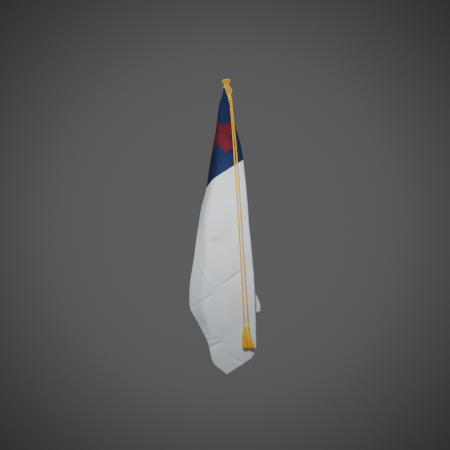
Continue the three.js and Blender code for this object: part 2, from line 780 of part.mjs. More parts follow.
add('field', sheet(fieldCloth), cloth(COLOURS.white));
add('canton', sheet(blueCloth), cloth(COLOURS.blue));
add('cross', sheet(crossCloth), cloth(COLOURS.red));
add('cord_knot', knot(), cordYarn(COLOURS.gold));
for (const [name, route] of Object.entries(STRAND_ROUTES)) {
  add(name, fromSolid(toSolid(tube(route))), cordYarn(COLOURS.gold));
}
for (const [name, spec] of Object.entries(TASSELS)) {
  add(name, tassel(spec), cordYarn(COLOURS.tassel));
}

export default flag;
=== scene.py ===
"""A white flag with a blue canton and a red Latin cross, hung by its corner from a knotted gold cord."""
import math

import bmesh
import bpy
import numpy as np
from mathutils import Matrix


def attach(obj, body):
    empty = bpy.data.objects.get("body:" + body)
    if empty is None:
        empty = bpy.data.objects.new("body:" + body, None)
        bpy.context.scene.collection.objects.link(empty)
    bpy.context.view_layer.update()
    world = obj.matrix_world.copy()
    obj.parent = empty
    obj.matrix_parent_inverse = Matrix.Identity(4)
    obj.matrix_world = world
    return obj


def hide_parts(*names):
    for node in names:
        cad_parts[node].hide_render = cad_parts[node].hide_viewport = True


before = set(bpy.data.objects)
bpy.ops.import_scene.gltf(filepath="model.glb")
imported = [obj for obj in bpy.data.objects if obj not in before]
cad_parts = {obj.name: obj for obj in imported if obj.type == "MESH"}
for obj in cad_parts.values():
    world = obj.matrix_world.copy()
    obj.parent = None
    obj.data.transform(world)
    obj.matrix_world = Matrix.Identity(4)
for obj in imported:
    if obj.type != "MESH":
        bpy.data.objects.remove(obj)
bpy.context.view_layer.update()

# The camera looks straight at the flag from the front. Its lens makes the frame as wide at the front
# panel as the photo's is.
CAMERA_DISTANCE = 4.0
FRAME_WIDTH = 2.204
FRAME_MIDDLE = (-0.0049, -0.7243)
PANEL_FRONT = -0.043
SENSOR = 36.0

camera_data = bpy.data.cameras.new("camera")
camera_data.sensor_width = SENSOR
camera_data.lens = SENSOR * (CAMERA_DISTANCE + PANEL_FRONT) / FRAME_WIDTH
camera = bpy.data.objects.new("camera", camera_data)
camera.location = (FRAME_MIDDLE[0], -CAMERA_DISTANCE, FRAME_MIDDLE[1])
camera.rotation_euler = (math.pi / 2, 0, 0)
bpy.context.collection.objects.link(camera)
bpy.context.scene.camera = camera

# The twisted cord: three plies of gold rayon laid together, in two strands that hang down the
# front of the flag from the knot to the tassels. Routes, and sizes of the knot and tassels, are in mm.
MM = 0.001
CORD_RADIUS = 0.00325
CORD_LAY = 0.021
CORD_PLIES = 3
PLY_DEPTH = 0.22
PLY_YARNS = 7
YARN_TURNS = 5
CORD_RINGS = 0.0012
CORD_AROUND = 24
CORD_INTO_HEAD = 8
# The lighter gold is the colour on the plies' crests, and the darker gold is painted shade in the grooves
# between them.
GOLD_LIGHT = (1.0, 0.63, 0.045, 1)
GOLD_SHADED = (0.60, 0.27, 0.012, 1)
GOLD_GLOSS = (0.45, 0.35, GOLD_LIGHT)
STRAND_ROUTES = {
    "cord_left": [
        (21.9, -12.8, -128.1), (24.1, -15, -158), (26.9, -18, -187), (29.4, -22, -217),
        (31.5, -26.2, -246), (33.4, -31, -276), (35.7, -35.6, -305), (37.7, -40, -335),
        (39.6, -43.8, -365), (41.3, -47, -394), (44.6, -51.6, -453), (49.2, -54.4, -522),
        (53.5, -56.4, -591), (57.6, -56.9, -660), (61.6, -57.1, -729), (65.6, -57.2, -798),
        (69.7, -57, -867), (73.6, -56.5, -936), (77.3, -56.2, -1005), (80.8, -56.2, -1074),
        (84.3, -56.7, -1143), (87.7, -58, -1211),
    ],
    "cord_right": [
        (28.9, -12.8, -127.5), (31.1, -14.1, -158), (34, -16.9, -187), (37.2, -20.5, -217),
        (40.2, -24.3, -246), (43.2, -28.7, -276), (46.2, -33.1, -305), (48.8, -37.4, -335),
        (51, -41, -365), (53, -44.4, -394), (56.6, -48.9, -453), (61.8, -51.8, -522),
        (66.2, -53.9, -591), (70.6, -54.3, -660), (75, -54.5, -729), (79.8, -54.6, -798),
        (84.8, -54.5, -867), (89.5, -54.2, -936), (94, -54.1, -1005), (98.5, -54.6, -1074),
        (103, -55.6, -1143), (106.9, -57.5, -1211),
    ],
}


class Link:
    """A socket of a material's node tree. Sums and products of links add Math nodes."""

    def __init__(self, tree, socket=None):
        self.tree = tree
        self.socket = socket

    def node(self, kind, inputs=None, output=0, stops=None, **settings):
        """One output of a new node, which gets its settings, then a ramp's stops, then its inputs."""
        node = self.tree.nodes.new(kind)
        for name, value in settings.items():
            setattr(node, name, value)
        if stops:
            ramp = node.color_ramp.elements
            while len(ramp) < len(stops):
                ramp.new(1)
            for element, (place, colour) in zip(ramp, stops):
                element.position = place
                element.color = colour
        for name, value in (inputs or {}).items():
            if isinstance(value, Link):
                self.tree.links.new(value.socket, node.inputs[name])
            else:
                node.inputs[name].default_value = value
        return Link(self.tree, node.outputs[output])

    def other(self, output):
        """Another output of the same node."""
        return Link(self.tree, self.socket.node.outputs[output])

    def math(self, operation, a, b=0.0):
        return self.node("ShaderNodeMath", {0: a, 1: b}, operation=operation)

    def __add__(self, other):
        return self.math("ADD", self, other)

    def __sub__(self, other):
        return self.math("SUBTRACT", self, other)

    def __rsub__(self, other):
        return self.math("SUBTRACT", other, self)

    def __mul__(self, other):
        return self.math("MULTIPLY", self, other)

    def __truediv__(self, other):
        return self.math("DIVIDE", self, other)

    __radd__ = __add__
    __rmul__ = __mul__

    def sin(self):
        return self.math("SINE", self)

    def bell(self, middle, width):
        """exp(-((self - middle) / width) squared)."""
        off = (self - middle) / width
        return self.math("EXPONENT", off * off * -1.0)

    def between(self, low, high):
        """1 from low to high and 0 outside."""
        return self.math("GREATER_THAN", self, low) * self.math("LESS_THAN", self, high)

    def mix(self, colour, other):
        """The other colour where this mask is 1, and the first where it is 0."""
        return self.node("ShaderNodeMix", {0: self, 6: colour, 7: other}, output=2, data_type="RGBA")


def new_material(name):
    """An empty material, its Principled shader and a Link on its tree."""
    material = bpy.data.materials.new(name)
    material.use_nodes = True
    shader = material.node_tree.nodes["Principled BSDF"]
    return material, shader, Link(material.node_tree)


def feed(shader, name, link):
    """Joins a link to one input of the shader."""
    link.tree.links.new(link.socket, shader.inputs[name])


def gloss(shader, roughness, level, tint):
    """How rough the surface is, and how strong its reflection is and of what colour."""
    shader.inputs["Roughness"].default_value = roughness
    shader.inputs["Specular IOR Level"].default_value = level
    shader.inputs["Specular Tint"].default_value = tint


def smooth_route(points, spacing):
    """A centripetal Catmull-Rom curve through the points, sampled at even steps of its length."""
    p = np.array(points, float) * MM
    p = np.vstack([2 * p[0] - p[1], p, 2 * p[-1] - p[-2]])
    knots = np.concatenate([[0], np.cumsum(np.linalg.norm(np.diff(p, axis=0), axis=1) ** 0.5)])
    fine = []
    for i in range(1, len(p) - 2):
        t = np.linspace(knots[i], knots[i + 1], 40, endpoint=i == len(p) - 3)[:, None]
        k = knots[i - 1:i + 3]
        a1 = (k[1] - t) / (k[1] - k[0]) * p[i - 1] + (t - k[0]) / (k[1] - k[0]) * p[i]
        a2 = (k[2] - t) / (k[2] - k[1]) * p[i] + (t - k[1]) / (k[2] - k[1]) * p[i + 1]
        a3 = (k[3] - t) / (k[3] - k[2]) * p[i + 1] + (t - k[2]) / (k[3] - k[2]) * p[i + 2]
        b1 = (k[2] - t) / (k[2] - k[0]) * a1 + (t - k[0]) / (k[2] - k[0]) * a2
        b2 = (k[3] - t) / (k[3] - k[1]) * a2 + (t - k[1]) / (k[3] - k[1]) * a3
        fine.append((k[2] - t) / (k[2] - k[1]) * b1 + (t - k[1]) / (k[2] - k[1]) * b2)
    fine = np.vstack(fine)
    run = np.concatenate([[0], np.cumsum(np.linalg.norm(np.diff(fine, axis=0), axis=1))])
    even = np.linspace(0, run[-1], max(int(run[-1] / spacing), 4) + 1)
    return np.stack([np.interp(even, run, fine[:, k]) for k in range(3)], axis=1)


def frames_along(path):
    """Two directions across a path at each of its points, turned as little as possible along it."""
    tangent = np.gradient(path, axis=0)
    tangent /= np.linalg.norm(tangent, axis=1)[:, None]
    across = np.zeros_like(tangent)
    side = np.cross(tangent[0], (0.3, 1.0, 0.1))
    for i, t in enumerate(tangent):
        side = side - t * side.dot(t)
        side /= np.linalg.norm(side)
        across[i] = side
    return across, np.cross(tangent, across)


def rope_grid(path, radius, lay, around):
    """Rings round a path. A ring's radius at an angle is the cord's, less the ply depth times 1 minus the
    swell. The swell is the size of the cosine of 1.5 times the angle, to the power of 0.8, so that there
    are three plies, and they turn once round in each length of lay."""
    side, up = frames_along(path)
    run = np.concatenate([[0], np.cumsum(np.linalg.norm(np.diff(path, axis=0), axis=1))])
    angle = np.linspace(0, 2 * np.pi, around, endpoint=False)[None, :]
    turn = angle - 2 * np.pi * run[:, None] / lay
    swell = np.abs(np.cos(CORD_PLIES / 2 * turn)) ** 0.8
    r = (radius * (1 - PLY_DEPTH + PLY_DEPTH * swell))[:, :, None]
    points = path[:, None, :] + r * (np.cos(angle)[:, :, None] * side[:, None, :]
                                     + np.sin(angle)[:, :, None] * up[:, None, :])
    return points, swell, run[:, None] + 0 * angle, angle + 0 * run[:, None]


def grid_faces(rows, columns, first=0):
    """Quads of a grid whose columns close on themselves, and a cap fan at each end as one face."""
    i = np.arange(rows - 1)[:, None] * columns
    j = np.arange(columns)[None, :]
    k = (j + 1) % columns
    quads = np.stack([i + j, i + k, i + columns + k, i + columns + j], axis=2).reshape(-1, 4) + first
    low = list(range(first + columns - 1, first - 1, -1))
    high = list(range(first + (rows - 1) * columns, first + rows * columns))
    return quads.tolist() + [low, high]


def piece_from(name, points, faces, uv=None, marks=None, smooth=True):
    """A mesh object at the origin, with a UV pair and named float marks at each point."""
    mesh = bpy.data.meshes.new(name)
    mesh.from_pydata(points.reshape(-1, 3).tolist(), [], faces)
    corner = np.empty(len(mesh.loops), np.int32)
    mesh.loops.foreach_get("vertex_index", corner)
    if uv is not None:
        layer = mesh.uv_layers.new(name="cut")
        layer.data.foreach_set("uv", uv.reshape(-1, 2)[corner].astype(np.float32).ravel())
    for key, values in (marks or {}).items():
        attribute = mesh.attributes.new(key, "FLOAT", "POINT")
        attribute.data.foreach_set("value", values.astype(np.float32).ravel())
    mesh.polygons.foreach_set("use_smooth", np.full(len(mesh.polygons), smooth))
    mesh.update()
    piece = bpy.data.objects.new(name, mesh)
    bpy.context.collection.objects.link(piece)
    return piece


def rope_material(name, light, deep, surface, lay):
    """Silky twisted rayon: fine yarns slant along each ply, and the grooves between plies are deep and
    painted darker, as shade.
    """
    material, shader, tree = new_material(name)
    along = tree.node("ShaderNodeSeparateXYZ", {0: tree.node("ShaderNodeUVMap", uv_map="cut")})
    around = along.other(1)
    # Painted shade: the colour darkens from each ply's crest into the groove beside it.
    groove_shade = tree.node("ShaderNodeAttribute", attribute_name="swell", output=2)
    yarns = (around * PLY_YARNS + along * (2 * math.pi * YARN_TURNS / lay)).sin()
    place = tree.node("ShaderNodeTexCoord", output=3)
    speck = tree.node("ShaderNodeTexNoise", {"Vector": place, "Scale": 260.0, "Detail": 3.0})
    shade = groove_shade * 0.75 + yarns * 0.09 + speck * 0.3
    colour = tree.node("ShaderNodeValToRGB", {0: shade}, stops=[(0.12, deep), (0.95, light)])
    feed(shader, "Base Color", colour)
    height = yarns * 0.5 + speck
    bump = tree.node("ShaderNodeBump", {"Strength": 0.5, "Distance": 0.0003, "Height": height})
    feed(shader, "Normal", bump)
    gloss(shader, *surface)
    return material


cord_material = rope_material("gold_rayon_cord", GOLD_LIGHT, GOLD_SHADED, GOLD_GLOSS, CORD_LAY)
cords = {}
for name, route in STRAND_ROUTES.items():
    x, y, z = route[-1]
    path = smooth_route(route + [(x, y, z - CORD_INTO_HEAD)], CORD_RINGS)
    points, swell, along, around = rope_grid(path, CORD_RADIUS, CORD_LAY, CORD_AROUND)
    strand = piece_from(
        name.replace("cord_", "strand_"),
        points,
        grid_faces(*points.shape[:2]),
        uv=np.stack([along, around], axis=2),
        marks={"swell": swell},
    )
    strand.data.materials.append(cord_material)
    cords[name] = (strand, path)

# The knot: the bight of the same cord over the top, a second loop and a short turn behind it, the
# strands packed inside, two strands laid down its front and two turns round the gathered neck of the
# cloth, all pulled tight together.
KNOT_ROUTES = {
    "bight": [
        (21.9, -12.8, -126.6), (17, -14, -112), (14.3, -15, -100), (12, -15.8, -90),
        (8, -16.5, -80), (3.8, -16.5, -69), (0.5, -16, -57), (-2.7, -15.2, -44),
        (-5.5, -14, -34), (-7, -12.5, -26), (-12, -10, -19), (-17.6, -7.5, -13),
        (-12.5, -5, -7.5), (1, -4, -4.4), (13.5, -4.5, -3.7), (19.6, -7, -8.5),
        (16.5, -10.5, -17), (12, -12.5, -26), (12.8, -13.5, -37), (19, -14.2, -45),
        (26.2, -15, -53), (26.6, -16, -66), (20.8, -17, -82), (25, -15.5, -96),
        (27.6, -14, -110), (28.9, -12.8, -126.6),
    ],
    "second_loop": [
        (3, -15.5, -46), (4, -13.5, -33), (7.5, -8, -22), (11, -1.5, -14), (6, 1.5, -9.5),
        (-3.5, 1.5, -9.5), (-9.5, -2, -13.5), (-5, -8.5, -21), (-0.5, -13, -32), (1.5, -15.5, -46),
    ],
    "hook_turn": [(-11, 2, -20), (-4, 4, -15.5), (4, 4, -15), (13, 2, -19.5)],
    "core": [(1.5, -12.5, -34), (-1, -8.5, -24), (-3, -4.5, -15), (-2, -3, -10)],
    "second_core": [(6, -13, -33), (5.5, -8.5, -23), (7, -4.5, -14), (8, -3, -10)],
    "upper_strand": [
        (2, -16.5, -38), (6.5, -19, -52), (11.5, -20, -66), (15.4, -19, -80),
        (19.4, -17, -94), (22, -13.5, -106),
    ],
    "lower_strand": [
        (8, -15.5, -34), (12.5, -18, -48), (18.8, -19.2, -62), (18.6, -19, -76),
        (15.5, -16.5, -88), (20.4, -13, -104),
    ],
}
WRAP_TURNS = 2.2
WRAP_PLACES = 8
WRAP_FROM = -33
WRAP_TO = -46
WRAP_MIDDLE = (2.2, 0.0)
WRAP_HALF = (6.0, 4.75)
WRAP_WIDENS = 2.4
WRAP_DRIFTS = -1.2
WRAP_CLEAR = 4.45
KNOT_RINGS = 0.0010

place = np.arange(round(WRAP_TURNS * WRAP_PLACES) + 1)
wrap_angle = 2 * np.pi * (place + 0.5) / WRAP_PLACES - np.pi / 2
wrap_share = place / place[-1]
wrap_half = WRAP_HALF[0] + WRAP_WIDENS * wrap_share
wrap_middle = WRAP_MIDDLE[0] + WRAP_DRIFTS * wrap_share
KNOT_ROUTES["turns"] = np.stack([
    wrap_middle + np.sign(np.cos(wrap_angle)) * wrap_half + WRAP_CLEAR * np.cos(wrap_angle),
    np.sign(np.sin(wrap_angle)) * WRAP_HALF[1] + WRAP_CLEAR * np.sin(wrap_angle),
    WRAP_FROM + (WRAP_TO - WRAP_FROM) * wrap_share,
], axis=1)

knot_points, knot_faces, knot_uv, knot_swell = [], [], [], []
for route in KNOT_ROUTES.values():
    path = smooth_route(route, KNOT_RINGS)
    points, swell, along, around = rope_grid(path, CORD_RADIUS, CORD_LAY, CORD_AROUND)
    first = sum(len(part) for part in knot_points)
    knot_faces += grid_faces(*points.shape[:2], first)
    knot_points.append(points.reshape(-1, 3))
    knot_uv.append(np.stack([along, around], axis=2).reshape(-1, 2))
    knot_swell.append(swell.ravel())
knot = piece_from(
    "knot",
    np.vstack(knot_points),
    knot_faces,
    uv=np.vstack(knot_uv),
    marks={"swell": np.concatenate(knot_swell)},
)
knot.data.materials.append(cord_material)
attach(knot, "root")
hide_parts("cord_knot")

# The tassels: a head of cord wound over a core, bound at its waist, and a skirt of gold rayon
# yarns, each twisted, that spreads as it hangs. A skirt's foot is an ellipse with the half widths half
# and deep, whose middle is off the head's line by lean and drift.
HEAD_GAP = 0.4
HEAD_PROFILE = [
    (3.4, 0), (5.2, 1.2), (6.4, 3), (7.4, 7), (6.9, 10.5), (5.6, 13), (5.6, 16), (6.8, 18), (7.6, 24),
]
HEAD_AROUND = 48
HEAD_RINGS = 40
FLUTES = 12
FLUTE_DEPTH = 0.04
FLUTE_SLANT = 0.9
BINDING = (14.5, 1.6)
YARN_LENGTH = 94
YARN_RADIUS = 0.75
YARN_SIDES = 5
YARN_RINGS = 14
YARNS = 120
YARN_TWIST = 0.0022
YARN_UNEVEN = 1.6
YARN_WOBBLE = 0.45
ROOT_SHARE = 0.86
ROOT_INSIDE = 1.5
FOOT_ROUNDS = 4
# The tassels' darker colour is partly each yarn's own tone and partly painted shade. The pair of a height
# and a length sets painted shade by height: below that height the yarns are painted darker downwards, and
# above it lighter.
TASSEL_LIGHT = (1.0, 0.76, 0.08, 1)
TASSEL_DEEP = (0.92, 0.39, 0.013, 1)
TASSEL_SHADING = (-1.235, 0.100)
TASSEL_GLOSS = (0.36, 0.8, TASSEL_LIGHT)
TASSEL_SHEEN = 0.4
TASSELS = {
    "tassel_left": {"strand": "cord_left", "half": 16, "deep": 9.5, "lean": 7, "drift": -1},
    "tassel_right": {"strand": "cord_right", "half": 17, "deep": 9.5, "lean": 20, "drift": -1},
}


def head_grid(top):
    """A turned profile whose radius is fluted by the wound cord: the profile's radius times 1 plus
    0.04 of the sine of 12 times the angle, offset down the head so that the flutes slant, and plus the
    thread that binds the waist. It also gives 0.5 plus half that sine at each point, which is painted
    as shade: darker in the flutes' troughs and lighter on their crests."""
    profile = np.array(HEAD_PROFILE, float)
    drop = np.linspace(0, profile[-1, 1], HEAD_RINGS)
    radius = np.interp(drop, profile[:, 1], profile[:, 0])
    angle = np.linspace(0, 2 * np.pi, HEAD_AROUND, endpoint=False)
    wave = np.sin(FLUTES * angle[None, :] + drop[:, None] * FLUTE_SLANT)
    bound = np.exp(-((drop - BINDING[0]) / BINDING[1]) ** 2) * (0.9 + 0.25 * np.sin(drop * 5))
    r = radius[:, None] * (1 + FLUTE_DEPTH * wave) + bound[:, None]
    points = np.stack([
        r * np.cos(angle)[None, :],
        -r * np.sin(angle)[None, :],
        -drop[:, None] + 0 * r,
    ], axis=2) * MM + top
    return points, 0.5 + 0.5 * wave


def skirt_grids(top, half, deep, lean, drift, seed):
    """Yarns from roots spread over the head's foot to ends spread over an ellipse. Each is a quadratic
    Bezier curve whose middle point has three quarters of the spread at half the height. They are a
    little uneven in length, and swell towards their ends."""
    rng = np.random.default_rng(seed)
    spread = np.sqrt((np.arange(YARNS) + 0.5) / YARNS)
    angle = np.arange(YARNS) * math.pi * (3 - math.sqrt(5)) + rng.normal(0, 0.12, YARNS)
    c, s = np.cos(angle), np.sin(angle)
    foot = HEAD_PROFILE[-1]
    inside = foot[0] * ROOT_SHARE * spread
    root = np.stack([inside * c, inside * s, np.full(YARNS, ROOT_INSIDE - foot[1])], 1)
    length = YARN_LENGTH + rng.normal(0, YARN_UNEVEN, YARNS) - FOOT_ROUNDS * spread ** 3
    reach = spread * rng.uniform(0.9, 1.0, YARNS)
    end = np.stack([lean + half * reach * c, drift + deep * reach * s, -foot[1] - length], 1)
    shoulder = np.stack([(root[:, 0] + 3 * (end[:, 0] - lean)) / 4, (root[:, 1] + 3 * end[:, 1]) / 4,
                         (root[:, 2] + end[:, 2]) / 2], 1)
    t = np.linspace(0, 1, YARN_RINGS)[None, :, None]
    line = (1 - t) ** 2 * root[:, None] + 2 * t * (1 - t) * shoulder[:, None] + t ** 2 * end[:, None]
    wobble = rng.normal(0, YARN_WOBBLE, (YARNS, 1, 2))
    phase = rng.uniform(0, 6, (YARNS, 1, 1))
    line[:, :, :2] += wobble * np.sin(np.pi * 2 * t + phase) * t
    around = np.linspace(0, 2 * np.pi, YARN_SIDES, endpoint=False)
    r = YARN_RADIUS * (0.75 + 0.45 * t[..., 0])
    ring = np.stack([np.cos(around), np.sin(around), 0 * around], 1)
    points = line[:, :, None, :] + r[:, :, None, None] * ring[None, None]
    tone = rng.uniform(0, 1, YARNS)[:, None, None] + 0 * points[..., 0]
    return points * MM + top, tone


def yarn_material():
    """Glossy rayon yarn, a twist along each yarn and one tone for each, with painted shade that is darker
    towards the lower ends and lighter towards the top. On the head the tone mark carries painted shade from
    the flutes.
    """
    material, shader, tree = new_material("gold_rayon_yarn")
    # The tone mark is each yarn's own tone, and on the head it is painted shade from the flutes.
    tone = tree.node("ShaderNodeAttribute", attribute_name="tone", output=2)
    place = tree.node("ShaderNodeTexCoord", output=3)
    height = tree.node("ShaderNodeSeparateXYZ", {0: place}, output=2)
    twist = (height * (2 * math.pi / YARN_TWIST) + tone * 9.0).sin()
    speck = tree.node("ShaderNodeTexNoise", {"Vector": place, "Scale": 180.0, "Detail": 2.0})
    # Painted shade: darker downwards below this height, lighter above it.
    fade = (TASSEL_SHADING[0] - height) / TASSEL_SHADING[1]
    shade = tone * 0.5 + twist * 0.08 + speck * 0.4 + 0.40 - fade * 0.46
    colour = tree.node("ShaderNodeValToRGB", {0: shade}, stops=[(0.1, TASSEL_DEEP), (0.9, TASSEL_LIGHT)])
    feed(shader, "Base Color", colour)
    bump = tree.node("ShaderNodeBump", {"Strength": 0.4, "Distance": 0.0004, "Height": twist})
    feed(shader, "Normal", bump)
    gloss(shader, *TASSEL_GLOSS)
    shader.inputs["Sheen Weight"].default_value = TASSEL_SHEEN
    shader.inputs["Sheen Tint"].default_value = TASSEL_LIGHT
    return material


tassel_material = yarn_material()
for seed, (name, spec) in enumerate(TASSELS.items(), 11):
    strand, path = cords[spec["strand"]]
    top = path[-1] + np.array([0, 0, CORD_INTO_HEAD - HEAD_GAP]) * MM
    # The head's tone mark is painted shade from its flutes. Each yarn's tone mark is its own tone.
    points, shade = head_grid(top)
    yarns, tone = skirt_grids(top, spec["half"], spec["deep"], spec["lean"], spec["drift"], seed)
    faces = grid_faces(*points.shape[:2])
    first = points.shape[0] * points.shape[1]
    for k in range(YARNS):
        yarn_faces = grid_faces(YARN_RINGS, YARN_SIDES, first + k * YARN_RINGS * YARN_SIDES)
        faces += [face[::-1] for face in yarn_faces]
    tassel = piece_from(
        name + "_yarn",
        np.vstack([points.reshape(-1, 3), yarns.reshape(-1, 3)]),
        faces,
        marks={"tone": np.concatenate([shade.ravel(), tone.ravel()])},
    )
    tassel.data.materials.append(tassel_material)
    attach(tassel, "root")
    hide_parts(name)
    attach(strand, "root")
    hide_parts(spec["strand"])

# The flag's cloth and how it hangs. A place on the cut cloth is a along the top edge and b down
# the hoist, both from the gathered corner. The cloth folds into six passes, with the front foremost.
# Each row of OUTLINE is a distance from the corner in mm and the angles of the left and right sides.
# A pair of values is one near the corner and one lower down, or where a change begins and ends.
FLY = 1.219
HOIST = 0.762
CANTON_A = 0.378
CANTON_B = 0.400
CORNER = (-0.0084, -0.0148)
HOIST_ANGLE = math.radians(57.35)
NECK_START = 0.025
NECK_RISE = 0.008
RISE_ENDS = 0.085
NECK_SHIFT = 0.006
SHIFT_ENDS = (0.02, 0.11)
OUTLINE = np.array([
    (25, -10, 14), (75, -10, 14), (115, -12.3, 14), (160, -11, 14), (240, -9.9, 14.1),
    (330, -10.05, 14.4), (430, -9.9, 13), (545, -9.6, 11.5), (630, -10.3, 10.65),
    (720, -10.2, 9.75), (800, -10.05, 9.4), (860, -9.85, 9.1), (940, -9.75, 8.75),
    (1010, -9.7, 8.4), (1070, -9.3, 8.1), (1120, -8.85, 7.85), (1165, -7.95, 7.6),
    (1204, -6.9, 7.4), (1245, -6.3, 7.2), (1290, -5.9, 7), (1322, -5.7, 6.8),
    (1345, -5.4, 6.4), (1365, -5.3, 5.85), (1440, -5.1, 4.5),
]) * (MM, math.radians(1), math.radians(1))
FULL_FROM = 0.040
FULL_TO = 0.500
LAYER = (0.0019, 0.0129)
TURN_ANGLE = (math.radians(61), math.radians(35))
TURN_SOFTENS = (0.60, 0.94)
TURN_DEPTH = 0.060
TURN_EDGE = (0.0012, 0.008)
TURN_FACE = (0.0026, 0.038)
HIDDEN_LEFT = 0.9
TOP_EDGE_SHARE = 0.82
TOP_EDGE_FLARE = math.radians(3)
TOP_EDGE_FLARES = (1.02, 1.195)
TOP_EDGE_LIFT = 0.059
TOP_EDGE_LIFTS = (0.3, 0.9)
LIFT_FROM = HOIST_ANGLE + math.radians(8)
BOW = (0.25, 0.06)
BOW_FLATTENS = (0.3, 1.15)
BOW_STARTS = (0.05, 0.3)
BOW_BACK = 0.6
RIDGE_TOP = (0.010, -0.760)
RIDGE_END = (0.014, -1.290)
RIDGE_HEIGHT = 0.007
RIDGE_WIDTH = 0.045
RIDGE_RISES = (-0.15, 0.3)
RIDGE_FALLS = (0.75, 1.1)
TIP_BULGE = 0.028
TIP_MIDDLE = 0.083
TIP_WIDTH = 0.064
TIP_REACH = 0.210
PRESSED_LINE = 0.631
PRESSED_STEP = 0.215
PILLOW = 0.005
PILLOW_STARTS = (0.42, 0.55)

# Creases on the cut cloth, as (start, end, depth, half width). Places are (a, b), and a negative
# depth is a ridge.
CREASES = [
    ((0.854, 0.740), (0.855, 0.612), 0.0080, 0.0070),
    ((0.839, 0.550), (0.833, 0.440), 0.0068, 0.0065),
    ((0.611, 0.582), (0.628, 0.520), 0.0064, 0.0070),
    ((0.628, 0.520), (0.642, 0.437), 0.0040, 0.0065),
    ((0.640, 0.462), (0.751, 0.534), 0.0022, 0.0060),
    ((0.676, 0.597), (0.825, 0.592), -0.0020, 0.0080),
    ((1.062, 0.768), (1.074, 0.695), 0.0085, 0.0075),
    ((1.034, 0.748), (1.046, 0.708), 0.0042, 0.0060),
    ((1.140, 0.684), (1.216, 0.672), 0.0050, 0.0065),
    ((0.765, 0.471), (0.740, 0.432), 0.0020, 0.0060),
    ((0.870, 0.425), (0.966, 0.437), 0.0032, 0.0075),
    ((0.625, 0.282), (0.619, 0.264), 0.0022, 0.0055),
]


def ease(value, low, high):
    """A smooth step from 0 at low to 1 at high: 3 t squared less 2 t cubed."""
    t = np.clip((value - low) / (high - low), 0, 1)
    return t * t * (3 - 2 * t)


def blend(pair, share):
    """The first of a pair where share is 0, and the second where it is 1."""
    return pair[0] + (pair[1] - pair[0]) * share


def outline_at(column, distance):
    """The outline table's column at a distance, by cubic Hermite pieces with mean slopes."""
    x, y = OUTLINE[:, 0], OUTLINE[:, column]
    before = np.maximum(np.arange(len(x)) - 1, 0)
    after = np.minimum(np.arange(len(x)) + 1, len(x) - 1)
    slope = (y[after] - y[before]) / (x[after] - x[before])
    i = np.clip(np.searchsorted(x, distance) - 1, 0, len(x) - 2)
    span = x[i + 1] - x[i]
    t = np.clip((distance - x[i]) / span, 0, 1)
    bend = slope[i] * t * (1 - t) ** 2 - slope[i + 1] * t * t * (1 - t)
    return y[i] + (y[i + 1] - y[i]) * (3 * t * t - 2 * t ** 3) + bend * span


def rounded_path(points):
    """Runs and round corners of a path through (x, y, radius, name), each an array over the rows. A
    corner's arc meets both runs at the radius times the tangent of half the turn from the corner."""
    pieces = []
    x, y = points[0][:2]
    heading = np.arctan2(points[1][1] - y, points[1][0] - x)
    for i in range(1, len(points)):
        px, py, radius, name = points[i]
        last = i == len(points) - 1
        following = heading if last else np.arctan2(points[i + 1][1] - py, points[i + 1][0] - px)
        turn = np.arctan2(np.sin(following - heading), np.cos(following - heading))
        setback = radius * np.tan(np.abs(turn) / 2)
        length = (px - x) * np.cos(heading) + (py - y) * np.sin(heading) - setback
        pieces.append((heading, 0 * turn, length, name))
        if name != "middle" and not last:
            pieces.append((heading, np.sign(turn) / radius, radius * np.abs(turn), "bend"))
        x = px + setback * np.cos(following)
        y = py + setback * np.sin(following)
        heading = following
    return pieces


def sections(distance):
    """The six passes at each distance from the corner: the start point, the pieces from the hoist edge to
    the top edge, and the whole depth. The free ends take up what each section's length needs."""
    share = ease(distance, FULL_FROM, FULL_TO)
    layer = blend(LAYER, share)
    deep = blend((3 * LAYER[0], TURN_DEPTH), share)
    edge = blend(TURN_EDGE, share)
    face = blend(TURN_FACE, share)
    angle = blend(TURN_ANGLE, ease(distance, *TURN_SOFTENS))
    bend = layer / 2
    left = distance * outline_at(1, distance) - (edge / np.tan(angle / 2) - edge)
    right = distance * outline_at(2, distance)
    turned = left + deep / np.tan(angle)
    hidden = left * HIDDEN_LEFT
    top_edge = right * TOP_EDGE_SHARE + distance * TOP_EDGE_FLARE * ease(distance, *TOP_EDGE_FLARES)
    nil = 0 * distance

    def left_points(inner):
        return [
            (inner, deep + 2 * layer, nil, "start"),
            (hidden, deep + 2 * layer, bend, "hoist_pass"),
            (hidden, deep + layer, bend, "fold"),
            (inner, deep + layer, bend, "second_pass"),
            (inner, deep, bend, "fold"),
            (left, deep, edge, "first_pass"),
            (turned, nil, face, "strip"),
            (nil, nil, nil, "middle"),
        ]

    def right_points(inner):
        return [
            (nil, nil, nil, "middle"),
            (right, nil, bend, "front"),
            (right, layer, bend, "fold"),
            (inner, layer, bend, "back_pass"),
            (inner, 2 * layer, bend, "fold"),
            (top_edge, 2 * layer, nil, "top_pass"),
        ]

    def length_of(points):
        return sum(piece[2] for piece in rounded_path(points))

    left_inner = (HOIST_ANGLE * distance - length_of(left_points(nil))) / 3
    right_inner = (length_of(right_points(nil)) - (math.pi / 2 - HOIST_ANGLE) * distance) / 2
    pieces = rounded_path(left_points(left_inner)) + rounded_path(right_points(right_inner))
    return (left_inner, deep + 2 * layer), pieces, deep + 2 * layer, (left, right)


